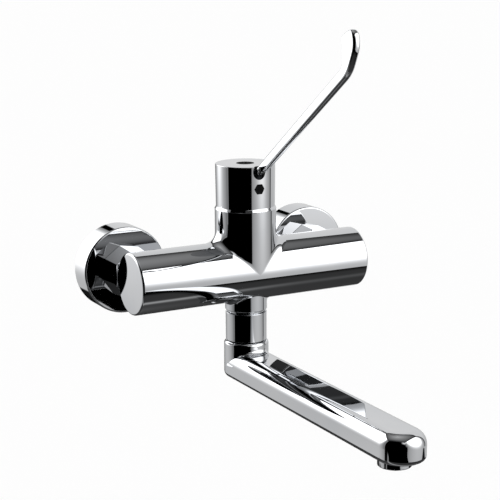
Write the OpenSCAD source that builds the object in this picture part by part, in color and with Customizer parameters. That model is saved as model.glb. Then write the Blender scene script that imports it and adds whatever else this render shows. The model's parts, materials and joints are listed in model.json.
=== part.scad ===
// Wall mixer tap with one long elbow lever and a swivelling spout.
// Millimetres. The origin is on the wall, midway between the two inlets.
// +X is right seen from the front, +Y goes into the wall, +Z is up.

/* [Wall connection] */
// Distance between the two inlet centres
inlet_spacing = 150; // [135:0.5:165]
// Distance from the wall to the axis of the bar
bar_to_wall = 60; // [57:0.5:70]
// Outer radius of the thread that goes into the wall
wall_thread_r = 10.48; // [9.5:0.01:12]
// Length of the thread that goes into the wall
wall_thread_length = 13; // [10:0.5:20]
// Outer radius of the thread that takes the union nut
union_thread_r = 13.1; // [12.6:0.1:13.6]
// Radius of the water bore in the inlets
inlet_bore_r = 7; // [5.5:0.1:7.6]
// Outer radius of a rosette
rosette_r = 31.3; // [26:0.1:36]
// Depth of a rosette from the wall to its front face
rosette_depth = 18.9; // [16:0.1:20]
// Wall thickness of a rosette
rosette_wall = 1.6; // [1.2:0.1:2.5]
// Width across the flats of a union nut at its wall end
nut_flats = 35; // [34.4:0.1:36]
// Slope of the union nut's flats towards the bar in degrees
nut_slope = 4; // [2:0.1:5]

/* [Body] */
// Radius of the horizontal bar
body_r = 21.75; // [21:0.05:23.5]
// Length of the bar beyond each inlet centre
bar_overhang = 14; // [12:0.5:22]
// Rounding of the bar's end edges
bar_edge = 1; // [0.6:0.1:1.6]
// Radius of the cartridge housing
cartridge_r = 17.3; // [16.9:0.1:17.6]
// Radius of the outlet boss under the bar
boss_r = 13.5; // [13.3:0.1:14.2]
// How much wider the boss is where it meets the bar
boss_flare = 2.1; // [1.5:0.1:3]

/* [Handle] */
// Height of the lever's tilting axis above the bar axis
pivot_z = 30.3; // [29:0.1:31.5]
// Height of the handle cap's lower edge
cap_bottom = 47.8; // [47:0.1:49]
// Height of the handle cap's top face
cap_top = 76.8; // [75:0.1:82]
// Thickness of the handle cap at its lower edge
cap_lip = 0.95; // [0.8:0.05:1.3]
// How much the cap is narrower than the body under it
cap_step = 0.85; // [0.6:0.05:1]
// Gap between the cap's ball-shaped hollow and the body's rim
tilt_gap = 0.35; // [0.3:0.05:0.5]
// Slope of the lever above the horizontal
lever_angle = 35.15; // [30:0.05:40]
// Length of the lever from the cap to its bend
lever_length = 130; // [90:1:160]
// Height of the lever's section in its own plane
lever_height = 6.7; // [6:0.1:8]
// Thickness of the lever from side to side
lever_width = 4.6; // [3.6:0.1:5.6]
// Radius of the lever's round root
lever_root_r = 2.8; // [2.4:0.1:3]

/* [Spout] */
// Distance from the swivel axis to the centre of the spout's nose
spout_reach = 197; // [150:1:230]
// Half of the spout's width
spout_half_width = 16; // [15.5:0.1:18]
// Height of the spout arm from its underside to its flat top
spout_height = 19.1; // [18:0.1:21]
// Rounding along the spout's upper edges
spout_top_round = 9; // [7:0.1:9.5]
// Rounding along the spout's lower edges
spout_low_round = 3.7; // [2.5:0.1:4.5]
// Height of the collar nut above the spout
collar_height = 21.8; // [21:0.1:24]
// Radius of the collar nut
collar_r = 14.7; // [14.5:0.1:15.4]
// Outer radius of the aerator
aerator_r = 10.8; // [10.5:0.1:11.5]
// How far the aerator stands out below the spout
aerator_drop = 5.85; // [5:0.05:8]

/* [Hidden] */
// Small seating gap between pieces that are fastened to each other
seat = 0.05;
// Radial running clearance of turning pieces
run = 0.1;
// Axial clearance of turning pieces
end_play = 0.3;
inlet_x = inlet_spacing / 2;
bar_half = inlet_x + bar_overhang;
tower_r = body_r - 0.05;

// Depths from the wall along one inlet
union_end = rosette_depth + 6;
washer_t = 2;
washer_end = union_end + washer_t + 2 * seat;
flange_t = 2.4;
flange_end = washer_end + flange_t;
nut_from = rosette_depth + end_play;
nut_to = bar_to_wall - body_r - end_play;
nipple_r = inlet_bore_r + 2.9;
nipple_end = bar_to_wall - 12;
chamber_r = body_r - 6;
chamber_in = tower_r + 1;

// Cartridge heights
floor_z = -2;
base_top = 3;
disc_t = 4;
fixed_top = base_top + seat + disc_t;
moving_top = fixed_top + seat + disc_t;
carriage_top = pivot_z - 10.8;
carriage_low = moving_top + seat;
finger_r = 3;
finger_arm = 12.8;
finger_z = pivot_z - finger_arm;
rotor_low = carriage_top + 0.7;
rotor_top = pivot_z + 5.1;
housing_in_r = cartridge_r - 2.3;
housing_shelf = rotor_top + end_play;
housing_top = housing_shelf + 2.3;
nut_low = housing_top + seat;
nut_top = nut_low + 6.4;
cartridge_bore_r = cartridge_r + 0.15;
ring_nut_r = cartridge_r + 1.6;
ring_bore_r = ring_nut_r + seat;
disc_r = housing_in_r - 5.4;
stem_w = 7.8;
stem_pin_r = 2;
stem_top = cap_top - 7;

// Handle
cap_r_low = tower_r - cap_step;
cap_r_top = cap_r_low + 0.3;
cap_in_r = cap_r_low - cap_lip;
cap_ball_r = sqrt(pow(cap_in_r, 2) + pow(cap_bottom - pivot_z, 2));
rim_ball_r = cap_ball_r - tilt_gap;
pocket_y = cap_r_top - 1.1;
pocket_z = cap_top - 3.8;
pocket_r = 4.8;
pocket_deep = 3.2;
root_deep = 8;
plug_z = cap_top - 15.6;
plug_flats = 6.8;
plug_deep = 3.4;
screw_r = 2.5;
disc_top_r = 6.3;
disc_top_t = 1.4;

// Spout heights
boss_z = -(body_r + 7.9);
collar_top = boss_z - 0.4;
collar_low = collar_top - collar_height;
stub_z = collar_low + 9.8;
stub_r = collar_r - 2.3;
lip_z = collar_low + 5;
tail_r = 9.5;
tail_bore_r = 6.6;
tail_top = boss_z + 5;
boss_bore_top = tail_top + 4;
slip_t = 0.5;
spout_top = collar_low - slip_t - end_play;
hub_round = 2.6;
arm_top = collar_low - 7.05;
arm_low = arm_top - spout_height;
arm_bore_r = spout_height / 2 - 3.2;
arm_bore_half = spout_half_width - 4 - arm_bore_r;
arm_bore_z = (arm_top + arm_low) / 2;
outlet_reach = spout_reach - 6;
outlet_r = aerator_r - 1;
outlet_top = arm_bore_z + 2.6;
ring_low = lip_z + 0.25;
ring_t = 2;

// Points of an arc around c from angle a to angle b
function arc(c, r, a, b, n) = [for (i = [0 : n]) c + r * [cos(a + (b - a) * i / n), sin(a + (b - a) * i / n)]];

// Moves its children to the upright axis of tower, lever and spout
module on_axis(z = 0) {
  translate([0, -bar_to_wall, z]) children();
}

// Cylinder along the wall's normal between two distances from the wall
module inlet_rod(x, from, to, r) {
  translate([x, -from, 0]) rotate([90, 0, 0]) cylinder(h = to - from, r = r, $fn = 96);
}

// Upright cylinder on the main axis between two heights
module upright(low, top, r) {
  on_axis(low) cylinder(h = top - low, r = r, $fn = 96);
}

// Moves its children to the lever's root, with Z along the lever and Y on its upper side
module on_lever() {
  on_axis(pocket_z) translate([0, -pocket_y, 0]) rotate([90 - lever_angle, 0, 0]) children();
}

module mixer_body() {
  color("silver") difference() {
    union() {
      translate([-bar_half, -bar_to_wall, 0]) rotate([0, 90, 0]) rotate_extrude($fn = 96) polygon(concat(
        [[0, 0]],
        arc([body_r - bar_edge, bar_edge], bar_edge, -90, 0, 3),
        arc([body_r - bar_edge, 2 * bar_half - bar_edge], bar_edge, 0, 90, 3),
        [[0, 2 * bar_half]]
      ));
      upright(0, pivot_z, tower_r);
      intersection() {
        upright(pivot_z, cap_top, tower_r);
        on_axis(pivot_z) sphere(r = rim_ball_r, $fn = 96);
      }
      on_axis() rotate_extrude($fn = 96) polygon(concat(
        [[0, boss_z]],
        [[boss_r, boss_z], [boss_r, boss_z + 1.3]],
        [[boss_r + boss_flare, boss_z + 6.2], [boss_r + boss_flare, 0]],
        [[0, 0]]
      ));
      upright(stub_z, boss_z + 1, stub_r);
    }
    upright(floor_z, housing_top - 0.5, cartridge_bore_r);
    upright(housing_top - 0.6, cap_top, ring_bore_r);
    upright(stub_z - 1, boss_bore_top, tail_r + run);
    for (side = [-1, 1]) {
      inlet_rod(side * inlet_x, bar_to_wall - body_r - 1, nipple_end + seat, nipple_r + seat);
      translate([side * chamber_in, -bar_to_wall, 0]) rotate([0, 90 * side, 0])
        cylinder(h = bar_half - 5 - chamber_in, r = chamber_r, $fn = 96);
      translate([side * (chamber_in + 2), -bar_to_wall, floor_z - 7.5]) rotate([0, -90 * side, 0])
        cylinder(h = chamber_in - 4, r = 5, $fn = 96);
      on_axis(floor_z - 7.5) translate([side * 9, 0, 0]) cylinder(h = 8, r = 3, $fn = 96);
    }
    on_axis(boss_bore_top - 1) translate([0, -5.5, 0])
      cylinder(h = floor_z + 2 - boss_bore_top, r = 3.6, $fn = 96);
  }
}

module wall_union(side) {
  difference() {
    union() {
      inlet_rod(side * inlet_x, -wall_thread_length, 5, wall_thread_r);
      inlet_rod(side * inlet_x, 4, union_end, union_thread_r);
    }
    inlet_rod(side * inlet_x, -wall_thread_length - 1, union_end + 1, inlet_bore_r + 0.4);
  }
}

module left_wall_union() {
  color("goldenrod") wall_union(-1);
}

module right_wall_union() {
  color("goldenrod") wall_union(1);
}

module rosette(side) {
  hole_r = union_thread_r + 0.15;
  translate([side * inlet_x, 0, 0]) rotate([90, 0, 0]) rotate_extrude($fn = 96) polygon(concat(
    [[rosette_r - rosette_wall, 0], [rosette_r, 0]],
    arc([rosette_r - 0.8, rosette_depth - 0.8], 0.8, 0, 90, 3),
    [[hole_r, rosette_depth], [hole_r, rosette_depth - rosette_wall]],
    [[rosette_r - rosette_wall - 1, rosette_depth - rosette_wall]],
    [[rosette_r - rosette_wall, rosette_depth - rosette_wall - 1]]
  ));
}

module left_rosette() {
  color("silver") rosette(-1);
}

module right_rosette() {
  color("silver") rosette(1);
}

module union_nut(side, turn) {
  half = nut_flats / 2;
  difference() {
    inlet_rod(side * inlet_x, nut_from, nut_to, half + 2);
    for (k = [0 : 7]) {
      translate([side * inlet_x, -nut_from, 0]) rotate([90, 0, 0]) rotate([0, 0, turn + 22.5 + 45 * k])
        translate([half, 0, 0]) rotate([0, -nut_slope, 0]) translate([0, -0.6 * half, -5])
          cube([10, 1.2 * half, nut_to - nut_from + 10]);
    }
    inlet_rod(side * inlet_x, nut_from - 1, flange_end + seat, union_thread_r + seat);
    inlet_rod(side * inlet_x, flange_end, nut_to + 1, nipple_r + 0.3);
  }
}

module left_union_nut() {
  color("silver") union_nut(-1, 13.5);
}

module right_union_nut() {
  color("silver") union_nut(1, 13.5);
}

module inlet_nipple(side) {
  difference() {
    union() {
      inlet_rod(side * inlet_x, washer_end, flange_end, union_thread_r - 0.6);
      inlet_rod(side * inlet_x, flange_end - 1, nipple_end, nipple_r);
    }
    inlet_rod(side * inlet_x, washer_end - 1, nipple_end + 1, inlet_bore_r);
  }
}

module left_inlet_nipple() {
  color("goldenrod") inlet_nipple(-1);
}

module right_inlet_nipple() {
  color("goldenrod") inlet_nipple(1);
}

module inlet_washer(side) {
  difference() {
    inlet_rod(side * inlet_x, union_end + seat, washer_end - seat, union_thread_r - 0.3);
    inlet_rod(side * inlet_x, union_end - 1, washer_end + 1, inlet_bore_r + 0.2);
  }
}

module left_inlet_washer() {
  color("dimgray") inlet_washer(-1);
}

module right_inlet_washer() {
  color("dimgray") inlet_washer(1);
}

// The three water ports of the cartridge, cut through base, seals and fixed disc
module ports(low, top, r) {
  for (p = [[-9, 0], [9, 0], [0, -5.5]]) {
    on_axis(low) translate([p[0], p[1], 0]) cylinder(h = top - low, r = r, $fn = 48);
  }
}

module cartridge_base() {
  color("white") difference() {
    upright(floor_z + seat, base_top, cartridge_r);
    ports(floor_z - 1, base_top + 1, 2.6);
    ports(floor_z - 1, floor_z + 1.2, 3.9);
  }
}

module cartridge_seals() {
  color("dimgray") difference() {
    ports(floor_z + seat, floor_z + 1.1, 3.8);
    ports(floor_z - 1, floor_z + 2, 2.7);
  }
}

module fixed_disc() {
  color("ivory") difference() {
    upright(base_top + seat, fixed_top, housing_in_r - seat);
    ports(base_top - 1, fixed_top + 1, 2.6);
  }
}

module cartridge_housing() {
  color("white") difference() {
    upright(base_top + seat, housing_top, cartridge_r);
    upright(base_top - 1, housing_shelf, housing_in_r);
    upright(housing_shelf - 1, housing_top + 1, 12);
  }
}

module cartridge_ring_nut() {
  color("goldenrod") difference() {
    upright(nut_low, nut_top, ring_nut_r);
    upright(nut_low - 1, nut_top + 1, 13.4);
    for (a = [0, 90]) {
      on_axis(nut_top - 2) rotate([0, 0, a + 45]) translate([-30, -2, 0]) cube([60, 4, 3]);
    }
  }
}

module spout_collar_nut() {
  color("silver") difference() {
    on_axis() rotate_extrude($fn = 96) polygon([
      [0, collar_low], [collar_r - 0.4, collar_low], [collar_r, collar_low + 0.4],
      [collar_r, collar_top - 0.4], [collar_r - 0.4, collar_top], [0, collar_top]
    ]);
    upright(lip_z, collar_top + 1, stub_r + seat);
    upright(collar_low - 1, lip_z + 1, tail_r + 0.3);
  }
}

module cartridge_rotor() {
  color("lightblue") difference() {
    upright(rotor_low, rotor_top, housing_in_r - run);
    on_axis(rotor_low - 1) translate([-stem_w / 2 - 0.2, -11, 0]) cube([stem_w + 0.4, 22, 60]);
    on_axis(pivot_z) rotate([0, 90, 0]) cylinder(h = 25, r = stem_pin_r + 0.02, center = true, $fn = 48);
  }
}

module stem_pin() {
  color("gainsboro") on_axis(pivot_z) rotate([0, 90, 0])
    cylinder(h = 24, r = stem_pin_r, center = true, $fn = 48);
}

module moving_disc() {
  color("ivory") difference() {
    upright(fixed_top + seat, moving_top, disc_r);
    on_axis(fixed_top - 1) translate([0, 1.5, 0]) cylinder(h = 3, r = 6, $fn = 48);
  }
}

module disc_carriage() {
  color("lightblue") difference() {
    upright(carriage_low, carriage_top, disc_r);
    on_axis(finger_z - finger_r - 0.8) translate([-5, -finger_r - 0.3, 0])
      cube([10, 2 * finger_r + 0.6, 20]);
  }
}

module handle_cap() {
  color("silver") difference() {
    on_axis() rotate_extrude($fn = 96) polygon(concat(
      [[0, cap_bottom - 1.5], [cap_r_low + 0.55, cap_bottom - 1.5], [cap_r_low, cap_bottom + 0.1]],
      arc([cap_r_top - 1, cap_top - 1], 1, 0, 90, 3),
      [[0, cap_top]]
    ));
    on_axis(pivot_z) sphere(r = cap_ball_r, $fn = 96);
    on_axis(pivot_z) translate([-stem_w / 2 - seat, -stem_w / 2 - seat, 0])
      cube([stem_w + 2 * seat, stem_w + 2 * seat, stem_top + seat - pivot_z]);
    on_lever() translate([0, 0, -pocket_deep]) cylinder(h = 30, r = pocket_r, $fn = 96);
    on_lever() translate([0, 0, -root_deep - 0.1]) cylinder(h = 20, r = lever_root_r + seat, $fn = 96);
    on_axis(plug_z) rotate([90, 0, 0]) cylinder(h = cap_r_top, r = screw_r + seat, $fn = 48);
    on_axis(plug_z) translate([0, plug_deep - cap_r_top, 0]) rotate([90, 0, 0])
      cylinder(h = plug_deep + 1, r = (plug_flats + 2 * seat) / sqrt(3), $fn = 6);
    on_axis(cap_top - disc_top_t) cylinder(h = disc_top_t + 1, r = disc_top_r + seat, $fn = 96);
  }
}

module lever_arm() {
  h = lever_height / 2;
  color("silver") union() {
    on_lever() translate([0, 0, -root_deep]) cylinder(h = root_deep + 12, r = lever_root_r, $fn = 96);
    on_lever() rotate([0, -90, 0]) linear_extrude(height = lever_width, center = true) polygon(concat(
      [[5, -lever_root_r + 0.3], [12, -h]],
      [for (p = lever_tip) [lever_length + p[0], p[1] * h / 3.35]],
      [[12, h], [5, lever_root_r - 0.3]]
    ));
  }
}

module handle_grub_screw() {
  inner = stem_w / 2 + 2 * seat;
  color("gainsboro") difference() {
    on_axis(plug_z) translate([0, -inner, 0]) rotate([90, 0, 0])
      cylinder(h = cap_r_top - plug_deep - 0.5 - inner, r = screw_r, $fn = 48);
    on_axis(plug_z) translate([0, plug_deep + 3 - cap_r_top, 0]) rotate([90, 0, 0])
      cylinder(h = 6, r = 1.45, $fn = 6);
  }
}

module hexagon_plug() {
  color("black") on_axis(plug_z) translate([0, plug_deep - seat - cap_r_top, 0]) rotate([90, 0, 0])
    cylinder(h = plug_deep - seat - 0.6, r = plug_flats / sqrt(3), $fn = 6);
}

module top_disc() {
  color("black") on_axis(cap_top - disc_top_t + seat)
    cylinder(h = disc_top_t - seat, r = disc_top_r, $fn = 96);
}

module cartridge_stem() {
  color("lightblue") difference() {
    union() {
      on_axis(pivot_z) translate([-stem_w / 2, -stem_w / 2, 0]) cube([stem_w, stem_w, stem_top - pivot_z]);
      on_axis(pivot_z) rotate([0, 90, 0]) cylinder(h = stem_w, r = 5, center = true, $fn = 48);
      on_axis(finger_z) translate([-stem_w / 2, -2.2, 0]) cube([stem_w, 4.4, finger_arm]);
      on_axis(finger_z) rotate([0, 90, 0]) cylinder(h = stem_w, r = finger_r, center = true, $fn = 48);
    }
    on_axis(pivot_z) rotate([0, 90, 0]) cylinder(h = 20, r = stem_pin_r + 0.05, center = true, $fn = 48);
  }
}

// Right half of the arm's outline, from its underside up to its flat top
function arm_half() = concat(
  arc([spout_half_width - spout_low_round, arm_low + spout_low_round], spout_low_round, -90, 0, 3),
  arc([spout_half_width - spout_top_round, arm_top - spout_top_round], spout_top_round, 0, 90, 5)
);

module spout() {
  color("silver") difference() {
    union() {
      on_axis() rotate_extrude($fn = 96) polygon(concat(
        [[0, arm_low]],
        arc([spout_half_width - spout_low_round, arm_low + spout_low_round], spout_low_round, -90, 0, 3),
        arc([spout_half_width - hub_round, spout_top - hub_round], hub_round, 0, 90, 4),
        [[0, spout_top]]
      ));
      on_axis() rotate([90, 0, 0]) linear_extrude(height = spout_reach) polygon(concat(
        arm_half(),
        [for (i = [len(arm_half()) - 1 : -1 : 0]) [-arm_half()[i][0], arm_half()[i][1]]]
      ));
      on_axis() translate([0, -spout_reach, 0]) rotate([0, 0, 180]) rotate_extrude(angle = 180, $fn = 96)
        polygon(concat([[0, arm_low]], arm_half(), [[0, arm_top]]));
      upright(spout_top - 1, tail_top, tail_r);
    }
    upright(arm_bore_z, tail_top + 1, tail_bore_r);
    for (side = [-1, 1]) {
      on_axis(arm_bore_z) translate([side * arm_bore_half, 0, 0]) rotate([90, 0, 0])
        cylinder(h = outlet_reach, r = arm_bore_r, $fn = 96);
    }
    on_axis(arm_bore_z) translate([-arm_bore_half, -outlet_reach, -arm_bore_r])
      cube([2 * arm_bore_half, outlet_reach, 2 * arm_bore_r]);
    on_axis(arm_low - 1) translate([0, -outlet_reach, 0]) cylinder(h = outlet_top - arm_low + 1, r = outlet_r, $fn = 96);
    for (z = [tail_top - 4, tail_top - 10]) {
      ring_space(z - seat, z + 2 + seat, tail_r - 1.3, tail_r + 1);
    }
    ring_space(ring_low - seat, ring_low + ring_t + seat, tail_r - 0.8, tail_r + 1);
  }
}

// Ring on the main axis
module ring_space(low, top, r_in, r_out) {
  difference() {
    upright(low, top, r_out);
    upright(low - 1, top + 1, r_in);
  }
}

module spout_o_rings() {
  color("dimgray") for (z = [tail_top - 4, tail_top - 10]) {
    ring_space(z, z + 2, tail_r - 1.3 + seat, tail_r + run / 2);
  }
}

module spout_retaining_ring() {
  color("white") ring_space(ring_low, ring_low + ring_t, tail_r - 0.8 + seat, stub_r - 0.3);
}

module slip_ring() {
  color("dimgray") ring_space(spout_top + seat, spout_top + seat + slip_t, tail_r + 0.1, collar_r - 0.3);
}

module aerator_housing() {
  color("silver") on_axis() translate([0, -outlet_reach, 0]) difference() {
    union() {
      translate([0, 0, arm_low - aerator_drop]) cylinder(h = aerator_drop - seat, r = aerator_r, $fn = 96);
      translate([0, 0, arm_low - 1]) cylinder(h = 6, r = outlet_r - seat, $fn = 96);
    }
    translate([0, 0, arm_low - aerator_drop - 1]) cylinder(h = 30, r = outlet_r - 1.6, $fn = 96);
  }
}

module aerator_insert() {
  step = 2.5;
  color("white") on_axis() translate([0, -outlet_reach, arm_low - aerator_drop + 0.8]) difference() {
    cylinder(h = 3, r = outlet_r - 1.6 - seat, $fn = 96);
    for (i = [-2 : 2]) {
      for (j = [-2 : 2]) {
        translate([i * step - 0.8, j * step - 0.8, -1]) cube([1.6, 1.6, 5]);
      }
    }
  }
}

module aerator_seal() {
  color("dimgray") on_axis() translate([0, -outlet_reach, arm_low + 5 + seat]) difference() {
    cylinder(h = 1.6, r = outlet_r - 0.15, $fn = 96);
    translate([0, 0, -1]) cylinder(h = 4, r = outlet_r - 2.4, $fn = 96);
  }
}

// Outline of the lever's turned-up end, along the lever and across it, from its bend onwards
lever_tip = [
  [-4, -3.35], [3.5, -3.25], [8.5, -2.5], [12.6, -1.1], [18.6, 2], [23.6, 5.1], [26.5, 8.2], [28.3, 11.5],
  [28.5, 14.1], [27.6, 16.2], [25, 17.8], [21.5, 18.7], [18.6, 19.1], [16, 18.7], [14.3, 17], [14, 15],
  [12.6, 11.8], [8.7, 6.3], [7.3, 4.7], [4.6, 3.5], [0, 3.35]
];

mixer_body();
left_wall_union();
right_wall_union();
left_rosette();
right_rosette();
left_union_nut();
right_union_nut();
left_inlet_nipple();
right_inlet_nipple();
left_inlet_washer();
right_inlet_washer();
cartridge_base();
cartridge_seals();
fixed_disc();
cartridge_housing();
cartridge_ring_nut();
spout_collar_nut();
cartridge_rotor();
stem_pin();
moving_disc();
disc_carriage();
handle_cap();
lever_arm();
handle_grub_screw();
hexagon_plug();
top_disc();
cartridge_stem();
spout();
spout_o_rings();
spout_retaining_ring();
slip_ring();
aerator_housing();
aerator_insert();
aerator_seal();
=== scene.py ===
"""Looks of the elbow lever tap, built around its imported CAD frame.

Shapes are drawn in millimetres, in the CAD's own frame, and turned to metres when a piece is finished.
"""
import json
import math

import bmesh
import bpy
from mathutils import Matrix, Vector


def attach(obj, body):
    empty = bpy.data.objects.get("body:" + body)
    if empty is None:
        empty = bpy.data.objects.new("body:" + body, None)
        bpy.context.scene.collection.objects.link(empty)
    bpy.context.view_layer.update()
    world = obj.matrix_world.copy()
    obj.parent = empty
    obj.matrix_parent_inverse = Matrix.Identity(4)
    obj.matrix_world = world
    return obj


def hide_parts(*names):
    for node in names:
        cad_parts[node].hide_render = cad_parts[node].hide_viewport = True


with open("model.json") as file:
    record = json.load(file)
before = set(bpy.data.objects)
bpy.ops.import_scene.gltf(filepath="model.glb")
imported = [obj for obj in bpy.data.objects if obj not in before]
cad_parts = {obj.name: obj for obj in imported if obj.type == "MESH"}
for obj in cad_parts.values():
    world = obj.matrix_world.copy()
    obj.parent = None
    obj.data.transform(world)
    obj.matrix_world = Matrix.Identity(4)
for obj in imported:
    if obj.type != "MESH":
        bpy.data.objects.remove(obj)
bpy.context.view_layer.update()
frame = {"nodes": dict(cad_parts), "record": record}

MM = 0.001

# Sizes in millimetres. The main ones are those of the CAD solids, and a comment marks those that are drawn
# to the photograph instead. Small roundings stand as third numbers in the outlines.

# Bar, tower and outlet boss of the casting
INLET_X = 75.0
BAR_Y = -60.0
BAR_R = 21.75
BAR_HALF = 89.9  # 0.9 more than the solid, to the photograph's outline
BAR_EDGE = 1.6  # rounder than the solid's, to the photograph
BAR_RING = 24.0  # extra ring of points on the bar, each side of the tower
TOWER_FOOT_R = 20.5  # the foot is hidden in the bar
TOWER_FOOT = -4.0
TOWER_HOLLOW_R = 19.2  # the bar is open here, where the cartridge sits
TOWER_HOLLOW = (-3.0, 60.0)
PIVOT_Z = 30.3
RIM_BALL_R = 26.15
RING_BORE_R = 18.95
RING_SEAT = 37.1
CARTRIDGE_BORE_R = 17.45
CARTRIDGE_FLOOR = -2.0
BOSS_ROOT = -5.0  # the root is hidden in the bar
BOSS_HOLLOW_R = 11.5  # the bar is open here, where the spout's tail turns
BOSS_HOLLOW = (-40.0, -19.0)
BOSS_WIDE = 15.0  # straight down to a groove, to the photograph; the solid has a cone
GROOVE_TOP = -28.2
GROOVE_LOW = -28.6
BOSS_R = 13.5
BOSS_Z = -29.65
STUB_R = 12.4
STUB_Z = -42.05
TAIL_R = 9.5
TAIL_GAP = 0.1
TAIL_BORE_TOP = -20.65
TOWER_FILLET = 9.0  # rounding where the tower grows out of the bar
BOSS_FILLET = 2.4  # and where the boss does
FILLET_BACK = 0.8  # thickness of those roundings' shells

# Handle cap, with the lever's pocket, the hexagon plug and the disc
CAP_LOW = 47.8
CAP_LIP_DROP = 0.9  # the lip is drawn that much lower, to the photograph
CAP_TOP = 76.8
CAP_R_LOW = 20.85
CAP_R_TOP = 21.15
CAP_BALL_R = 26.30
CAP_LIP_R = 21.7
CAP_LIP_FLAT = 0.15
POCKET_Y = -20.05
POCKET_Z = 73.0
POCKET_R = 4.8
POCKET_DEEP = 3.2
POCKET_MOUTH = 30.0  # end of the cutter, well outside the cap
POCKET_SHADE_REACH = 12.0  # the pocket's wall is painted dark, as painted shade, up to here
PLUG_Z = 61.2
PLUG_FLATS = 6.8
PLUG_SEAT = 17.8
PLUG_SUNK = 0.6
PLUG_GAP = 0.2
PLUG_MOUTH = 24.0
DISC_R = 6.3
DISC_T = 1.4
DISC_GAP = 0.08
DISC_LIFT = 0.05
DISC_MOUTH = 80.0
DISH_DEEP = 0.25  # the disc's middle lies that much below its rim

# Lever: a side view, (along, across) from its bend, that is drawn to the photograph
LEVER_ANGLE = 35.15
LEVER_LENGTH = 130.0
LEVER_ROOT_R = 2.8
LEVER_THICK = 4.5  # thickness at which its edges are rounded
LEVER_THICK_ROOT = 3.7
LEVER_THICK_MORE = 1.6  # that much thicker at its bend than at its root
LEVER_EDGE = 1.9
LEVER_CUTS = 54  # cross cuts, which let its thickness change along it
LEVER_CUT_FROM = -1.5
LEVER_CUT_STEP = 3.0
LEVER_TIP = [
    (-4, -4.55), (3.9, -4.45), (9, -3.65), (13.2, -2.2), (19.3, 1.1), (24.5, 4.4), (27.4, 7.8), (29.1, 11.3),
    (29.3, 14.1), (28.2, 16.4), (25.4, 18), (21.5, 18.8), (18.6, 19.1), (16, 18.7), (14.3, 17), (14, 15),
    (12.6, 11.8), (8.7, 6.3), (7.3, 4.7), (4.6, 3.5), (0, 3.35),
]
LEVER_ROOT = [
    (14, 3.35), (8, 3.2), (3, 2.95), (-0.4, 2.4), (-2.1, 1.3), (-2.6, 0), (-2.1, -1.3), (-0.4, -2.5),
    (3, -3.4), (8, -4.1), (14, -4.5),
]

# Collar nut, spout and aerator ring; the joint of collar and hub is drawn higher than in the solids, and
# the arm's lower rounding a little smaller, to the photograph
COLLAR_R = 14.7
COLLAR_TOP = -30.05
COLLAR_LOW = -50.35
COLLAR_FLOOR = 5.0
COLLAR_TAIL_GAP = 0.3
COLLAR_STUB_GAP = 0.05
SPOUT_TOP = -51.0
SPOUT_HALF = 16.0
SPOUT_REACH = 197.0
HEEL_SHARE = 0.3  # the arm's back end is that much flatter than a half circle
ARM_TOP = -58.9
ARM_LOW = -78.0
ARM_TOP_ROUND = 9.0
ARM_LOW_ROUND = 3.5
HUB_LOW = ARM_LOW + 0.02
HUB_ROUND = 2.6
HUB_FILLET = 3.6
HUB_FILLET_BACK = 0.5
TAIL_TOP = -24.65
TAIL_HOLLOW_R = 6.6
TAIL_HOLLOW_LOW = -62.0
OUTLET_REACH = 191.0
AERATOR_R = 10.8
AERATOR_LOW = -83.85
AERATOR_TOP = ARM_LOW - 0.05
AERATOR_BORE_R = 8.2
AERATOR_NECK_R = 9.75
AERATOR_NECK_TOP = ARM_LOW + 5

# Rosettes, union nuts and threaded wall unions
ROSETTE_R = 31.3
ROSETTE_DEPTH = 18.9
ROSETTE_WALL = 1.6
ROSETTE_EDGE = 1.3  # rounder than the solid's, to the photograph
ROSETTE_GAP = 0.15
NUT_FLATS = 35.0
NUT_FLATS_BAR = 32.38
NUT_TURN_DEG = 13.5
NUT_FROM = 19.2
NUT_TO = 37.95
NUT_BORE_R = 10.2
UNION_END = 24.9
UNION_R = 13.1
UNION_STEP = 5.0
UNION_BORE_R = 7.4
WALL_THREAD_R = 10.48
WALL_THREAD_END = -13.0
THREAD_PITCH = 1.814
THREAD_START = WALL_THREAD_END + 0.2
THREAD_CORE_R = WALL_THREAD_R - 1.1
THREAD_DEEP_R = WALL_THREAD_R - 1.16  # a little inside the core, so that the two overlap
THREAD_CREST = (0.42, 0.58)  # shares of the pitch between which the thread has its full height
THREAD_BACK = 0.1

SHARP_DEG = 32  # edges sharper than this stay sharp
TOUCHING = 0.0005  # points closer than this become one

# Places of the pieces' own axes
UPRIGHT = Matrix.Translation((0, BAR_Y, 0))
ALONG_BAR = Matrix.Translation((0, BAR_Y, 0)) @ Matrix.Rotation(math.pi / 2, 4, "Y")
ON_LEVER = (Matrix.Translation((0, BAR_Y + POCKET_Y, POCKET_Z))
            @ Matrix.Rotation(math.radians(90 - LEVER_ANGLE), 4, "X"))


def from_wall(x):
    """Place of a lathed inlet piece whose heights are distances from the wall."""
    return Matrix.Translation((x, 0, 0)) @ Matrix.Rotation(math.pi / 2, 4, "X")


def from_front(z):
    """Place of a prism that points at the front from the tap's upright axis."""
    return Matrix.Translation((0, BAR_Y, z)) @ Matrix.Rotation(math.pi / 2, 4, "X")


def linear(hex_colour):
    """sRGB hex value to the linear colour that a shader takes."""
    parts = [int(hex_colour[i:i + 2], 16) / 255 for i in (1, 3, 5)]
    return tuple(p / 12.92 if p <= 0.04045 else ((p + 0.055) / 1.055) ** 2.4 for p in parts) + (1.0,)


def add_node(tree, kind, inputs=None, **settings):
    """Adds a node with its settings; an input is a value, or the output that feeds it."""
    made = tree.nodes.new(kind)
    for name, value in settings.items():
        setattr(made, name, value)
    for name, value in (inputs or {}).items():
        if isinstance(value, bpy.types.NodeSocket):
            tree.links.new(value, made.inputs[name])
        else:
            made.inputs[name].default_value = value
    return made


# ---- materials

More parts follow.
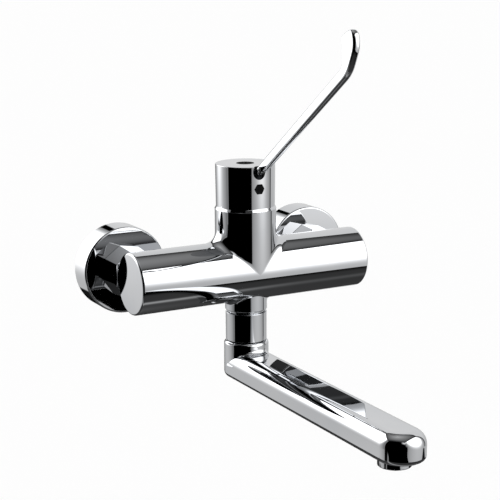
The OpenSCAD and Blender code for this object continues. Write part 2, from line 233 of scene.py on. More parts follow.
def finish(name, dark, pale, patch_mm, rough, grain_mm, relief_mm, metallic=0.0, shine=0.5):
    """A surface whose tone drifts over patches and whose gloss and relief follow a grain, all in mm."""
    material = bpy.data.materials.new(name)
    material.use_nodes = True
    tree = material.node_tree
    shader = tree.nodes["Principled BSDF"]
    shader.inputs["Metallic"].default_value = metallic
    shader.inputs["Specular IOR Level"].default_value = shine
    place = add_node(tree, "ShaderNodeTexCoord").outputs["Object"]
    patches = add_node(tree, "ShaderNodeTexNoise", {
        "Vector": place, "Scale": 1 / (patch_mm * MM), "Detail": 3.0})
    tone = add_node(tree, "ShaderNodeValToRGB", {"Fac": patches.outputs["Fac"]})
    tone.color_ramp.elements[0].position = 0.35
    tone.color_ramp.elements[0].color = linear(dark)
    tone.color_ramp.elements[1].position = 0.65
    tone.color_ramp.elements[1].color = linear(pale)
    tree.links.new(tone.outputs["Color"], shader.inputs["Base Color"])
    grain = add_node(tree, "ShaderNodeTexNoise", {
        "Vector": place, "Scale": 1 / (grain_mm * MM), "Detail": 4.0})
    gloss = add_node(tree, "ShaderNodeMapRange", {
        "Value": grain.outputs["Fac"], "From Min": 0.3, "From Max": 0.7,
        "To Min": rough[0], "To Max": rough[1]})
    tree.links.new(gloss.outputs["Result"], shader.inputs["Roughness"])
    relief = add_node(tree, "ShaderNodeBump", {
        "Height": grain.outputs["Fac"], "Strength": 1.0, "Distance": relief_mm * MM})
    tree.links.new(relief.outputs["Normal"], shader.inputs["Normal"])
    return material


# Bright nickel-chrome plate on buffed brass: a near mirror, a touch cool, with faint buffing waves
chrome = finish("polished_chrome_plate", "#CFD1D4", "#D6D7D9", 45.0, (0.012, 0.03), 9.0, 0.002, metallic=1.0)
# Painted shade in the lever's pocket: a dark grey, dull metal that stands for the shade in the recess
pocket_shade_finish = finish("painted_pocket_shade", "#202123", "#2B2C2E", 4.0, (0.5, 0.7), 0.6, 0.01, metallic=1.0)
# Machined brass that is left bare where the wall or the cartridge hides it: dull gold with tool marks
brass = finish("machined_brass", "#9A7435", "#B8924C", 12.0, (0.24, 0.4), 0.9, 0.01, metallic=1.0)
# Moulded nitrile rubber: soft black, no gloss, fine texture from the mould
rubber = finish("nitrile_rubber", "#131313", "#1E1E1D", 6.0, (0.62, 0.82), 0.5, 0.02)
# Moulded acetal: warm white, waxy half gloss
acetal = finish("white_acetal", "#DEDCD4", "#EAE8E2", 14.0, (0.34, 0.48), 0.8, 0.008)
# Glass-filled nylon: dark grey with paler patches where fibre lies at the surface
nylon = finish("glass_filled_nylon", "#3A3C3F", "#4A4C50", 2.5, (0.42, 0.6), 0.5, 0.012)
# Moulded ABS: deep black, dulled by a fine eroded texture
black_abs = finish("black_moulded_abs", "#0A0A0B", "#141415", 3.0, (0.5, 0.65), 0.35, 0.006, shine=0.02)
# Lapped alumina: cream white, smooth and slightly glossy
alumina = finish("lapped_alumina", "#E3DED2", "#EEEAE0", 8.0, (0.14, 0.24), 0.6, 0.002)
# Cold-drawn stainless steel: grey metal with a fine dull grain
steel = finish("drawn_stainless_steel", "#9B9DA0", "#B0B2B5", 5.0, (0.25, 0.42), 0.4, 0.006, metallic=1.0)

SLOT_FINISH = {
    "chrome_plate": chrome, "raw_brass": brass, "seal_rubber": rubber, "white_plastic": acetal,
    "grey_plastic": nylon, "black_plastic": black_abs, "disc_ceramic": alumina, "steel": steel,
}
for subpart in frame["record"]["subparts"]:
    solid = frame["nodes"][subpart["node"]]
    solid.data.materials.clear()
    solid.data.materials.append(SLOT_FINISH[subpart["material_slot"]])


# ---- mesh tools

def lathe(outline, place, steps=192):
    """Rounds the corners of an outline of (radius, height[, rounding]) points and spins it once round."""
    bm = bmesh.new()
    corners = [Vector((p[0], 0, p[1])) for p in outline]
    points = [bm.verts.new(c) for c in corners]
    for a, b in zip(points, points[1:]):
        bm.edges.new((a, b))
    for i, p in enumerate(outline):
        if len(p) > 2:
            opening = (corners[i - 1] - corners[i]).angle(corners[i + 1] - corners[i])
            corner = min(bm.verts, key=lambda v: (v.co - corners[i]).length)
            bmesh.ops.bevel(bm, geom=[corner], offset=p[2] / math.tan(opening / 2), offset_type="OFFSET",
                            segments=6, profile=0.5, affect="VERTICES", material=-1)
    bmesh.ops.spin(bm, geom=bm.verts[:] + bm.edges[:], cent=(0, 0, 0), axis=(0, 0, 1), dvec=(0, 0, 0),
                   angle=2 * math.pi, steps=steps, use_merge=True)
    bmesh.ops.remove_doubles(bm, verts=bm.verts, dist=TOUCHING)
    bmesh.ops.recalc_face_normals(bm, faces=bm.faces)
    bmesh.ops.transform(bm, matrix=place, verts=bm.verts)
    return bm


def drill(radius, low, high, place, steps=96):
    """Round cutter with flat ends."""
    return lathe([(0, low), (radius, low), (radius, high), (0, high)], place, steps)


def prism(sides, low_flats, high_flats, low, high, place, edge=0.0):
    """A regular prism, straight or tapered, measured across flats, its long edges rounded."""
    bm = bmesh.new()
    corner = 2 * math.cos(math.pi / sides)
    lift = Matrix.Translation((0, 0, (low + high) / 2)) @ Matrix.Rotation(-math.pi / 2, 4, "Z")
    bmesh.ops.create_cone(bm, cap_ends=True, segments=sides, radius1=low_flats / corner,
                          radius2=high_flats / corner, depth=high - low, matrix=lift)
    if edge:
        long_edges = [e for e in bm.edges if abs(e.verts[0].co.z - e.verts[1].co.z) > 1e-6]
        bmesh.ops.bevel(bm, geom=long_edges, offset=edge, offset_type="OFFSET", segments=4, profile=0.5,
                        affect="EDGES", material=-1)
    bmesh.ops.recalc_face_normals(bm, faces=bm.faces)
    bmesh.ops.transform(bm, matrix=place, verts=bm.verts)
    return bm


def bent_grid(columns, rows, place):
    """A grid whose point (u, v), each from 0 to 1, is put at place(u, v)."""
    bm = bmesh.new()
    bmesh.ops.create_grid(bm, x_segments=columns, y_segments=rows, size=1)
    for vert in bm.verts:
        vert.co = place((vert.co.x + 1) / 2, (vert.co.y + 1) / 2)
    return bm


def ball_fillet(centre, touch_a, touch_b, start_deg, end_deg, columns, rows=10):
    """The hollow strip that a ball leaves as it rolls along two surfaces.

    The ball's centre and the two points where it touches depend on an angle.
    """
    def place(u, v):
        t = math.radians(start_deg + (end_deg - start_deg) * u)
        middle = Vector(centre(t))
        a, b = Vector(touch_a(t)) - middle, Vector(touch_b(t)) - middle
        return middle + a.slerp(b, v).normalized() * a.length
    return bent_grid(columns, rows, place)


def thicken(sheet, depth):
    """Gives an open sheet a back, depth millimetres behind its face, which makes it a closed shell."""
    bmesh.ops.solidify(sheet, geom=sheet.faces[:], thickness=depth)
    bmesh.ops.recalc_face_normals(sheet, faces=sheet.faces)


def join(*parts):
    """One bmesh from several."""
    whole = bmesh.new()
    for part in parts:
        mesh = bpy.data.meshes.new("part")
        part.to_mesh(mesh)
        part.free()
        whole.from_mesh(mesh)
        bpy.data.meshes.remove(mesh)
    return whole


def carve(bm, tool):
    """The first bmesh cut by the second."""
    pair = []
    for part in (bm, tool):
        mesh = bpy.data.meshes.new("part")
        part.to_mesh(mesh)
        part.free()
        pair.append(bpy.data.objects.new("part", mesh))
        bpy.context.scene.collection.objects.link(pair[-1])
    cut = pair[0].modifiers.new("cut", "BOOLEAN")
    cut.object, cut.operation, cut.solver = pair[1], "DIFFERENCE", "EXACT"
    graph = bpy.context.evaluated_depsgraph_get()
    mesh = bpy.data.meshes.new_from_object(pair[0].evaluated_get(graph))
    result = bmesh.new()
    result.from_mesh(mesh)
    bpy.data.meshes.remove(mesh)
    for made in pair:
        mesh = made.data
        bpy.data.objects.remove(made)
        bpy.data.meshes.remove(mesh)
    return result


def arc_points(centre_height, radius, start_deg, end_deg, count):
    """Outline points on a circle about a point of the lathe's axis."""
    angles = [math.radians(start_deg + (end_deg - start_deg) * i / count) for i in range(count + 1)]
    return [(radius * math.cos(a), centre_height + radius * math.sin(a)) for a in angles]


def smooth_path(points, steps):
    """Points of a smooth curve through the given ones; its ends stay where they are."""
    path = []
    for i in range(len(points) - 1):
        p0, p1 = Vector(points[max(i - 1, 0)]), Vector(points[i])
        p2, p3 = Vector(points[i + 1]), Vector(points[min(i + 2, len(points) - 1)])
        for k in range(steps):
            s = k / steps
            path.append(0.5 * (2 * p1 + (p2 - p0) * s + (2 * p0 - 5 * p1 + 4 * p2 - p3) * s ** 2
                               + (3 * p1 - p0 - 3 * p2 + p3) * s ** 3))
    return path + [Vector(points[-1])]


def finish_piece(bm, name, body, slot, node):
    """Makes a bmesh in millimetres a piece in metres that rides on its body and stands for its node."""
    bmesh.ops.scale(bm, vec=(MM, MM, MM), verts=bm.verts)
    mesh = bpy.data.meshes.new(name)
    bm.to_mesh(mesh)
    bm.free()
    mesh.materials.append(SLOT_FINISH[slot])
    for face in mesh.polygons:
        face.use_smooth = True
    mesh.set_sharp_from_angle(angle=math.radians(SHARP_DEG))
    piece = bpy.data.objects.new(name, mesh)
    bpy.context.scene.collection.objects.link(piece)
    even = piece.modifiers.new("even_normals", "WEIGHTED_NORMAL")
    even.keep_sharp = True
    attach(piece, body)
    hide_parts(node)
    return piece


# ---- pieces

def tower_roundings():
    """Hollow strips between the bar and the tower, one on each side."""
    far = BAR_R + TOWER_FILLET
    strips = []
    for side in (-1, 1):
        strips.append(ball_fillet(
            lambda t: (side * far * math.cos(t), BAR_Y + far * math.sin(t), far * math.cos(t)),
            lambda t: (side * BAR_R * math.cos(t), BAR_Y + BAR_R * math.sin(t), far * math.cos(t)),
            lambda t: (side * far * math.cos(t), BAR_Y + BAR_R * math.sin(t), BAR_R * math.cos(t)),
            -88, 88, 96))
    return strips


def boss_rounding():
    """Hollow strip all round the boss, where it leaves the bar."""
    out, reach = BOSS_WIDE + BOSS_FILLET, BAR_R + BOSS_FILLET
    share = BAR_R / reach

    def centre(t):
        depth = math.sqrt(reach ** 2 - (out * math.sin(t)) ** 2)
        return Vector((out * math.cos(t), out * math.sin(t), -depth))

    strip = ball_fillet(
        lambda t: centre(t) + Vector((0, BAR_Y, 0)),
        lambda t: (BOSS_WIDE * math.cos(t), BAR_Y + BOSS_WIDE * math.sin(t), centre(t).z),
        lambda t: (centre(t).x, BAR_Y + centre(t).y * share, centre(t).z * share),
        0, 360, 192)
    bmesh.ops.remove_doubles(strip, verts=strip.verts, dist=TOUCHING)
    return strip


def face_outwards(strips):
    """Turns hollow strips so that their faces look away from the casting's own axes."""
    for face in strips.faces:
        spot = face.calc_center_median()
        away = Vector((0, spot.y - BAR_Y, spot.z)) + Vector((spot.x, spot.y - BAR_Y, 0))
        if face.normal.dot(away) < 0:
            face.normal_flip()


def tap_body():
    """Bar, tower and outlet boss of the casting, with the roundings where they meet."""
    bar = lathe([(0, -BAR_HALF), (BAR_R, -BAR_HALF, BAR_EDGE), (BAR_R, -BAR_RING), (BAR_R, BAR_RING),
                 (BAR_R, BAR_HALF, BAR_EDGE), (0, BAR_HALF)], ALONG_BAR)
    bar = carve(bar, drill(TOWER_HOLLOW_R, *TOWER_HOLLOW, UPRIGHT))
    bar = carve(bar, drill(BOSS_HOLLOW_R, *BOSS_HOLLOW, UPRIGHT))
    rim_start = math.degrees(math.acos(BAR_R / RIM_BALL_R))
    rim_end = math.degrees(math.acos(RING_BORE_R / RIM_BALL_R))
    tower = lathe([(0, TOWER_FOOT), (TOWER_FOOT_R, TOWER_FOOT), (BAR_R, 0)]
                  + arc_points(PIVOT_Z, RIM_BALL_R, rim_start, rim_end, 6)
                  + [(RING_BORE_R, RING_SEAT), (CARTRIDGE_BORE_R, RING_SEAT),
                     (CARTRIDGE_BORE_R, CARTRIDGE_FLOOR), (0, CARTRIDGE_FLOOR)], UPRIGHT)
    boss = lathe([(0, BOSS_ROOT), (BOSS_WIDE, BOSS_ROOT), (BOSS_WIDE, GROOVE_TOP, 0.7), (BOSS_R, GROOVE_LOW),
                  (BOSS_R, BOSS_Z, 0.2), (STUB_R, BOSS_Z), (STUB_R, STUB_Z, 0.3), (TAIL_R + TAIL_GAP, STUB_Z),
                  (TAIL_R + TAIL_GAP, TAIL_BORE_TOP), (0, TAIL_BORE_TOP)], UPRIGHT)
    strips = join(*tower_roundings(), boss_rounding())
    face_outwards(strips)
    thicken(strips, FILLET_BACK)
    finish_piece(join(bar, tower, boss, strips), "tap_body", "wall_body", "chrome_plate", "mixer_body")


def turning_cap():
    """Handle cap with its hollow, the lever's pocket, the plug's recess and the disc's recess."""
    hollow = arc_points(PIVOT_Z, CAP_BALL_R, 90, math.degrees(math.acos(CAP_LIP_R / CAP_BALL_R)), 12)
    cap = lathe([(0, hollow[0][1])] + hollow[1:]
                + [(CAP_LIP_R + CAP_LIP_FLAT, hollow[-1][1]), (CAP_R_LOW, CAP_LOW - CAP_LIP_DROP, 1.0),
                   (CAP_R_TOP, CAP_TOP, 0.4), (0, CAP_TOP)], UPRIGHT, steps=256)
    cap = carve(cap, lathe([(0, -POCKET_DEEP), (POCKET_R, -POCKET_DEEP, 0.6), (POCKET_R, POCKET_MOUTH),
                            (0, POCKET_MOUTH)], ON_LEVER, steps=96))
    plug_recess = PLUG_FLATS + PLUG_GAP
    cap = carve(cap, prism(6, plug_recess, plug_recess, PLUG_SEAT, PLUG_MOUTH, from_front(PLUG_Z)))
    cap = carve(cap, drill(DISC_R + DISC_GAP, CAP_TOP - DISC_T, DISC_MOUTH, UPRIGHT, steps=128))
    # the pocket's faces take the second finish, which is painted shade in the recess
    for face in cap.faces:
        spot = ON_LEVER.inverted() @ face.calc_center_median()
        if math.hypot(spot.x, spot.y) < POCKET_R + 0.02 and -POCKET_DEEP - 0.1 < spot.z < POCKET_SHADE_REACH:
            face.material_index = 1
    piece = finish_piece(cap, "turning_cap", "lever_body", "chrome_plate", "handle_cap")
    # the second finish is the painted shade of the pocket
    piece.data.materials.append(pocket_shade_finish)


def elbow_lever():
    """Bar on edge that thickens towards its turned-up end, on a round root in the cap."""
    tip = [(LEVER_LENGTH + u, v) for u, v in LEVER_TIP]
    outline = smooth_path(tip, 5) + smooth_path(LEVER_ROOT, 4)
    bm = bmesh.new()
    side = bm.faces.new([bm.verts.new((-0.5, v, u)) for u, v in outline])
    grown = bmesh.ops.extrude_face_region(bm, geom=[side])
    far = [g for g in grown["geom"] if isinstance(g, bmesh.types.BMVert)]
    bmesh.ops.translate(bm, verts=far, vec=(1, 0, 0))
    bmesh.ops.scale(bm, vec=(LEVER_THICK, 1, 1), verts=bm.verts)
    bmesh.ops.recalc_face_normals(bm, faces=bm.faces)
    edges = [e for e in bm.edges if abs(e.verts[0].co.x - e.verts[1].co.x) < 1e-6]
    bmesh.ops.bevel(bm, geom=edges, offset=LEVER_EDGE, offset_type="OFFSET", segments=8, profile=0.5,
                    affect="EDGES", material=-1)
    for step in range(LEVER_CUTS):
        bmesh.ops.bisect_plane(bm, geom=bm.verts[:] + bm.edges[:] + bm.faces[:],
                               plane_co=(0, 0, LEVER_CUT_STEP * step + LEVER_CUT_FROM), plane_no=(0, 0, 1))
    for vert in bm.verts:
        along = min(max(vert.co.z / LEVER_LENGTH, 0), 1)
        vert.co.x *= (LEVER_THICK_ROOT + LEVER_THICK_MORE * along) / LEVER_THICK
    bmesh.ops.transform(bm, matrix=ON_LEVER, verts=bm.verts)
    root = lathe([(0, -8), (LEVER_ROOT_R, -8, 0.3), (LEVER_ROOT_R, 4.5, 1.6), (0, 7)], ON_LEVER, steps=64)
    finish_piece(join(bm, root), "elbow_lever", "lever_body", "chrome_plate", "lever_arm")


def plug_and_disc():
    """Hexagon plug over the grub screw, and the plain disc in the cap's top."""
    plug = prism(6, PLUG_FLATS, PLUG_FLATS, PLUG_SEAT, CAP_R_TOP - PLUG_SUNK, from_front(PLUG_Z), edge=0.3)
    front = [f for f in plug.faces if f.normal.y < -0.99]
    bmesh.ops.inset_region(plug, faces=front, thickness=0.35, depth=0.22)
    finish_piece(plug, "plug_hexagon", "lever_body", "black_plastic", "hexagon_plug")
    low, dish = CAP_TOP - DISC_T + DISC_LIFT, CAP_TOP - DISH_DEEP
    disc = lathe([(0, low), (DISC_R, low), (DISC_R, CAP_TOP, 0.25), (DISC_R - 1.1, CAP_TOP, 0.1),
                  (DISC_R - 1.4, dish, 0.1), (0, dish)], UPRIGHT, steps=96)
    finish_piece(disc, "disc_black", "lever_body", "black_plastic", "top_disc")


def neck_collar():
    """Ribless collar nut that holds the spout to the boss."""
    tail_hole, stub_hole = TAIL_R + COLLAR_TAIL_GAP, STUB_R + COLLAR_STUB_GAP
    ledge = COLLAR_LOW + COLLAR_FLOOR
    collar = lathe([(tail_hole, COLLAR_LOW), (COLLAR_R, COLLAR_LOW, 0.2), (COLLAR_R, COLLAR_TOP, 0.4),
                    (stub_hole, COLLAR_TOP), (stub_hole, ledge), (tail_hole, ledge), (tail_hole, COLLAR_LOW)],
                   UPRIGHT)
    finish_piece(collar, "neck_collar", "wall_body", "chrome_plate", "spout_collar_nut")


def arm_height(x):
    """Height of the arm's upper side, x millimetres off its middle."""
    over = abs(x) - (SPOUT_HALF - ARM_TOP_ROUND)
    if over <= 0:
        return ARM_TOP
    return ARM_TOP - ARM_TOP_ROUND + math.sqrt(max(ARM_TOP_ROUND ** 2 - over ** 2, 0))


def hub_rounding():
    """Hollow strip round the hub's front half, where the arm leaves it; it runs out at both ends."""
    def place(u, v):
        t = math.radians(-180 + 180 * u)
        size = HUB_FILLET * math.sin(math.pi * u) ** 0.5 + 0.01
        bend = math.pi / 2 * v
        out = SPOUT_HALF + size * (1 - math.cos(bend))
        foot = arm_height((SPOUT_HALF + size) * math.cos(t))
        return Vector((out * math.cos(t), BAR_Y + out * math.sin(t), foot + size * (1 - math.sin(bend))))

    strip = bent_grid(128, 10, place)
    for face in strip.faces:
        if face.normal.z < 0:
            face.normal_flip()
    thicken(strip, HUB_FILLET_BACK)
    return strip


def swing_spout():
    """Flat-topped arm with a half-round nose, on a round hub with its tail in the boss."""
    bm = bmesh.new()
    made = bmesh.ops.create_circle(bm, cap_ends=True, segments=128, radius=SPOUT_HALF)
    nose = [v for v in made["verts"] if v.co.y < 1e-5]
    heel = [v for v in made["verts"] if v.co.y >= 1e-5]
    bmesh.ops.scale(bm, verts=heel, vec=(1, HEEL_SHARE, 1))
    bmesh.ops.translate(bm, verts=made["verts"], vec=(0, BAR_Y, ARM_LOW))
    bmesh.ops.translate(bm, verts=nose, vec=(0, -SPOUT_REACH, 0))
    grown = bmesh.ops.extrude_face_region(bm, geom=bm.faces[:])
    tops = [g for g in grown["geom"] if isinstance(g, bmesh.types.BMVert)]
    bmesh.ops.translate(bm, verts=tops, vec=(0, 0, ARM_TOP - ARM_LOW))
    bmesh.ops.recalc_face_normals(bm, faces=bm.faces)
    for height, width, count in ((ARM_TOP, ARM_TOP_ROUND, 12), (ARM_LOW, ARM_LOW_ROUND, 8)):
        rim = [e for e in bm.edges if all(abs(v.co.z - height) < 1e-5 for v in e.verts)]
        bmesh.ops.bevel(bm, geom=rim, offset=width, offset_type="OFFSET", segments=count, profile=0.5,
                        affect="EDGES", material=-1)
    hub = lathe([(0, HUB_LOW), (SPOUT_HALF, HUB_LOW, ARM_LOW_ROUND), (SPOUT_HALF, SPOUT_TOP, HUB_ROUND),
                 (TAIL_R, SPOUT_TOP), (TAIL_R, TAIL_TOP, 0.4), (TAIL_HOLLOW_R, TAIL_TOP),
                 (TAIL_HOLLOW_R, TAIL_HOLLOW_LOW), (0, TAIL_HOLLOW_LOW)], UPRIGHT)
    finish_piece(join(bm, hub, hub_rounding()), "swing_spout", "spout_body", "chrome_plate", "spout")


def outlet_ring():
    """Aerator ring below the spout's nose."""
    place = Matrix.Translation((0, BAR_Y - OUTLET_REACH, 0))
    ring = lathe([(AERATOR_BORE_R, AERATOR_LOW), (AERATOR_R, AERATOR_LOW, 0.6),
                  (AERATOR_R, AERATOR_TOP, 0.25), (AERATOR_NECK_R, AERATOR_TOP),
                  (AERATOR_NECK_R, AERATOR_NECK_TOP), (AERATOR_BORE_R, AERATOR_NECK_TOP),
                  (AERATOR_BORE_R, AERATOR_LOW)], place, steps=128)
    finish_piece(ring, "outlet_ring", "spout_body", "chrome_plate", "aerator_housing")


def wall_thread(place, steps=96):
    """Helical pipe thread behind the wall plane."""
    turns = int((UNION_STEP - WALL_THREAD_END) / THREAD_PITCH) - 1
    bm = bmesh.new()
    profile = []
    for i in range(turns):
        z = THREAD_START + i * THREAD_PITCH
        profile.append((THREAD_DEEP_R, z))
        profile += [(WALL_THREAD_R, z + share * THREAD_PITCH) for share in THREAD_CREST]
    profile.append((THREAD_DEEP_R, THREAD_START + turns * THREAD_PITCH))
    points = [bm.verts.new((r, 0, z)) for r, z in profile]
    for a, b in zip(points, points[1:]):
        bm.edges.new((a, b))
    bmesh.ops.spin(bm, geom=bm.verts[:] + bm.edges[:], cent=(0, 0, 0), axis=(0, 0, 1),
                   dvec=(0, 0, THREAD_PITCH / steps), angle=2 * math.pi, steps=steps)
    # the turns become one sheet where they meet, within twice the usual distance
    bmesh.ops.remove_doubles(bm, verts=bm.verts, dist=2 * TOUCHING)
    bmesh.ops.recalc_face_normals(bm, faces=bm.faces)
    thicken(bm, THREAD_BACK)
    bmesh.ops.transform(bm, matrix=place, verts=bm.verts)
    return bm


def inlet_pieces(side):
    """Rosette, union nut and threaded wall union of one inlet."""
    label = "left" if side < 0 else "right"
    place = from_wall(side * INLET_X)
    inner_r, inner_depth = ROSETTE_R - ROSETTE_WALL, ROSETTE_DEPTH - ROSETTE_WALL
    hole_r = UNION_R + ROSETTE_GAP
    rosette = lathe([(inner_r, 0), (ROSETTE_R, 0, 0.3), (ROSETTE_R, ROSETTE_DEPTH, ROSETTE_EDGE),
                     (hole_r, ROSETTE_DEPTH, 0.3), (hole_r, inner_depth), (inner_r, inner_depth, 1.0),
                     (inner_r, 0)], place)
    finish_piece(rosette, f"rosette_{label}", "wall_body", "chrome_plate", f"{label}_rosette")
    turned = place @ Matrix.Rotation(math.radians(NUT_TURN_DEG), 4, "Z")
    nut = prism(8, NUT_FLATS, NUT_FLATS_BAR, NUT_FROM, NUT_TO, turned, edge=0.3)
    nut = carve(nut, drill(NUT_BORE_R, NUT_FROM - 1, NUT_TO + 1, place))
    finish_piece(nut, f"nut_{label}", "wall_body", "chrome_plate", f"{label}_union_nut")
    union = lathe([(UNION_BORE_R, WALL_THREAD_END), (THREAD_CORE_R, WALL_THREAD_END),
                   (THREAD_CORE_R, UNION_STEP), (UNION_R, UNION_STEP), (UNION_R, UNION_END, 0.4),
                   (UNION_BORE_R, UNION_END), (UNION_BORE_R, WALL_THREAD_END)], place, steps=96)
    union = join(union, wall_thread(place))
    finish_piece(union, f"union_{label}", "wall_body", "raw_brass", f"{label}_wall_union")


tap_body()
turning_cap()
elbow_lever()
plug_and_disc()
neck_collar()
swing_spout()
outlet_ring()
inlet_pieces(-1)
inlet_pieces(1)


# ---- studio: a room of soft walls that only the metal mirrors, a pale floor, lamps and the camera

# Sizes in metres; the room is square, twice ROOM wide, and turned about the tap
ROOM = 0.89
ROOM_TURN_DEG = 36.5
ROOM_FLOOR = -0.40
ROOM_CEILING = 1.10
WALL_LAMP_HALF_WIDTH = 0.482
WALL_LAMP_HALF_HEIGHT = 0.667
WALL_LAMP_FADE = 0.15
NO_GAP = 1.1  # a share of a wall's half width that lies past its end
FLOOR_Z = -1.1
FLOOR_R = 30.0
DIFFUSE_SKY = 0.62  # strength of the world where neither the camera nor a mirror sees it


def ease(value, low, high):
    """0 below low, 1 above high, smooth between."""
    s = min(max((value - low) / (high - low), 0), 1)
    return s * s * (3 - 2 * s)


# Brightness of the room. On a wall h goes from -1 to 1 along it and z is the height in metres; on the
# ceiling and floor a is 1 at the back right wall and b is 1 at the back left wall. The numbers were set
# until the chrome showed the bands of light and dark that the photograph shows.

def lit_wall(h, z, lamp_z=0.815):
    """White wall with a large soft lamp that fades a little below the tap."""
    off_lamp = math.hypot(h * ROOM / WALL_LAMP_HALF_WIDTH, (z - lamp_z) / WALL_LAMP_HALF_HEIGHT)
    past = WALL_LAMP_HALF_WIDTH * max(off_lamp - 1, 0)
    return 0.2 + 0.46 * (1 - h * h) + 1.9 * math.exp(-(past / WALL_LAMP_FADE) ** 2)


def front_right_wall(h, z):
    """Lit wall that is also bright high up at its left end."""
    return lit_wall(h, z) + 0.65 * ease(-h, 0.65, 0.85) * ease(z, 0.75, 0.9)


def back_left_wall(h, z):
    """Lit wall with its lamp a little lower."""
    return lit_wall(h, z, 0.765)


def back_right_wall(h, z):
    """Pale wall, a little darker low down and the same all along."""
    return 0.58 + 0.26 * ease(z, -0.3, 0.3)


def front_left_wall(h, z):
    """Black wall, grey along its left end and bright high up at its right end."""
    return 0.3 * (1 - ease(h, -0.85, -0.82)) + 0.9 * ease(h, 0.55, 0.85) * ease(z, 0.55, 0.85)


def ceiling(a, b):
    """Grey ceiling that darkens to its edges."""
    inside = ease(1 - abs(a), 0.1, 0.4) * ease(1 - abs(b), 0.05, 0.3)
    return 0.05 + 0.09 * inside + 0.42 * (1 - min(math.hypot(a, b), 1)) ** 1.6


def dark_floor(a, b):
    """Dark floor with a narrow light line in front of the tap and pale strips at the back walls."""
    r = min(math.hypot(a, b), 1)
    left = ease(-a, -0.1, 0.1)
    line = math.exp(-((b + 0.33 + 0.7 * a) / (0.08 - 0.03 * left)) ** 2) * (0.06 + 0.36 * left)
    back_edge = max(0.69 + 0.15 * ease(a, 0, 0.5) - 0.35 * ease(-a, 0.3, 0.6), -0.45 - 1.3 * a)
    back_strip = (0.2 + 0.46 * (1 - a * a)) * ease(b, back_edge, back_edge + 0.04)
    right_strip = 0.58 * ease(a, 0.66, 0.72) * (1 - ease(b, 0.3, 0.5))
    return 0.045 * ease(1 - r, 0, 0.35) + 0.12 * math.exp(-r / 0.1) + line + back_strip + right_strip


# Lit cloth of the studio's panels, as bright at each point as the panel's own glow value
panel_cloth = bpy.data.materials.new("studio_panel")
panel_cloth.use_nodes = True
panel_tree = panel_cloth.node_tree
panel_tree.nodes.clear()
panel_glow = add_node(panel_tree, "ShaderNodeAttribute", attribute_name="glow")
panel_light = add_node(panel_tree, "ShaderNodeEmission", {
    "Color": linear("#FFFFFF"), "Strength": panel_glow.outputs["Fac"]})
add_node(panel_tree, "ShaderNodeOutputMaterial", {"Surface": panel_light.outputs["Emission"]})


def studio_panel(name, place, glow, cells=96):
    """A panel of the room; place and glow take (u, v) from -1 to 1."""
    bm = bmesh.new()
    bmesh.ops.create_grid(bm, x_segments=cells, y_segments=cells, size=1)
    layer = bm.verts.layers.float.new("glow")
    for vert in bm.verts:
        u, v = vert.co.x, vert.co.y
        vert[layer] = glow(u, v)
        vert.co = place(u, v)
    mesh = bpy.data.meshes.new(name)
    bm.to_mesh(mesh)
    bm.free()
    mesh.materials.append(panel_cloth)
    panel = bpy.data.objects.new(name, mesh)
    bpy.context.scene.collection.objects.link(panel)
    panel.visible_camera = False
    panel.visible_diffuse = False
    panel.visible_shadow = False


def wall_panel(name, azimuth_deg, glow, left=NO_GAP, right=NO_GAP, left_up_to=9.0):
    """A wall seen in that direction from the tap, counted from the front towards the right.

    Left and right of those shares of its half width it is dark, on the left only up to a height.
    """
    def gapped(h, z):
        left_gap = ease(-h, left, left + 0.03) * (1 - ease(z, left_up_to, left_up_to + 0.25))
        return glow(h, z) * (1 - left_gap) * (1 - ease(h, right, right + 0.03))

    a = math.radians(azimuth_deg)
    ahead = Vector((math.sin(a), -math.cos(a), 0))
    across = Vector((math.cos(a), math.sin(a), 0))
    middle, half = (ROOM_FLOOR + ROOM_CEILING) / 2, (ROOM_CEILING - ROOM_FLOOR) / 2
    studio_panel(name, lambda u, v: ahead * ROOM + across * ROOM * u + Vector((0, 0, middle + half * v)),
                 lambda u, v: gapped(u, middle + half * v))


def flat_panel(name, height, glow):
    """Ceiling or floor of the room."""
    turn = Matrix.Rotation(math.radians(ROOM_TURN_DEG), 3, "Z")
    studio_panel(name, lambda u, v: turn @ Vector((ROOM * u, ROOM * v, height)), glow)


wall_panel("wall_front_left", ROOM_TURN_DEG - 90, front_left_wall)
wall_panel("wall_front_right", ROOM_TURN_DEG, front_right_wall, left=0.82, right=0.9, left_up_to=0.15)
wall_panel("wall_back_right", ROOM_TURN_DEG + 90, back_right_wall, left=0.9, right=0.87)
wall_panel("wall_back_left", ROOM_TURN_DEG + 180, back_left_wall, left=0.87)
flat_panel("room_ceiling", ROOM_CEILING, ceiling)
flat_panel("room_floor", ROOM_FLOOR, dark_floor)

# Matt white paint of the floor, which takes the tap's shadow
floor_paint = bpy.data.materials.new("pale_floor")
floor_paint.use_nodes = True
floor_shader = floor_paint.node_tree.nodes["Principled BSDF"]
floor_shader.inputs["Base Color"].default_value = linear("#FDFDFD")
floor_shader.inputs["Roughness"].default_value = 0.9
floor_shader.inputs["Specular IOR Level"].default_value = 0.0
floor_bm = bmesh.new()
bmesh.ops.create_circle(floor_bm, cap_ends=True, segments=96, radius=FLOOR_R)
bmesh.ops.translate(floor_bm, verts=floor_bm.verts, vec=(0, 0, FLOOR_Z))
floor_mesh = bpy.data.meshes.new("floor")
floor_bm.to_mesh(floor_mesh)
floor_bm.free()
floor_mesh.materials.append(floor_paint)
floor = bpy.data.objects.new("floor", floor_mesh)
bpy.context.scene.collection.objects.link(floor)

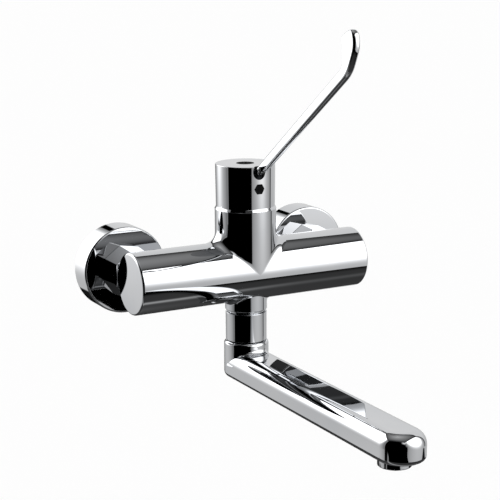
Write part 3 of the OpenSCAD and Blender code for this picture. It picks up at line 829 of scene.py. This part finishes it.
# White world for the camera and for mirrors, softer as light on the object
world = bpy.data.worlds.new("studio")
bpy.context.scene.world = world
world.use_nodes = True
sky = world.node_tree
sky.nodes.clear()
ray = add_node(sky, "ShaderNodeLightPath")
seen = add_node(sky, "ShaderNodeMath", {
    0: ray.outputs["Is Camera Ray"], 1: ray.outputs["Is Glossy Ray"]}, operation="MAXIMUM")
seen = add_node(sky, "ShaderNodeMath", {
    0: seen.outputs[0], 1: ray.outputs["Is Transmission Ray"]}, operation="MAXIMUM")
strength = add_node(sky, "ShaderNodeMapRange", {
    "Value": seen.outputs[0], "To Min": DIFFUSE_SKY, "To Max": 1.0})
backdrop = add_node(sky, "ShaderNodeBackground", {
    "Color": linear("#FFFFFF"), "Strength": strength.outputs["Result"]})
add_node(sky, "ShaderNodeOutputWorld", {"Surface": backdrop.outputs["Background"]})

for name, tilt, power in (("key_lamp", (35, 0, -40), 1.0), ("fill_lamp", (40, 0, 70), 0.5)):
    lamp = bpy.data.lights.new(name, "SUN")
    lamp.energy = power
    lamp.angle = math.radians(40)
    lamp_object = bpy.data.objects.new(name, lamp)
    lamp_object.rotation_euler = [math.radians(t) for t in tilt]
    lamp_object.visible_glossy = False
    bpy.context.scene.collection.objects.link(lamp_object)

# Camera at the photograph's angle
CAMERA_AT = (-0.47759, -0.94903, 0.23764)
CAMERA_YAW, CAMERA_PITCH, CAMERA_ROLL = (math.radians(a) for a in (28.419, 12.484, -0.344))
CAMERA_LENS = 104.693
camera_data = bpy.data.cameras.new("camera")
camera_data.sensor_width = 36
camera_data.lens = CAMERA_LENS
camera_data.clip_end = 100
camera = bpy.data.objects.new("camera", camera_data)
bpy.context.scene.collection.objects.link(camera)
forward = Vector((math.sin(CAMERA_YAW) * math.cos(CAMERA_PITCH),
                  math.cos(CAMERA_YAW) * math.cos(CAMERA_PITCH), -math.sin(CAMERA_PITCH)))
level_right = Vector((math.cos(CAMERA_YAW), -math.sin(CAMERA_YAW), 0))
level_up = level_right.cross(forward)
right = math.cos(CAMERA_ROLL) * level_right + math.sin(CAMERA_ROLL) * level_up
up = math.cos(CAMERA_ROLL) * level_up - math.sin(CAMERA_ROLL) * level_right
turn = Matrix((right, up, -forward)).transposed().to_4x4()
camera.matrix_world = Matrix.Translation(CAMERA_AT) @ turn
bpy.context.scene.camera = camera

bpy.context.scene.view_settings.view_transform = "Standard"
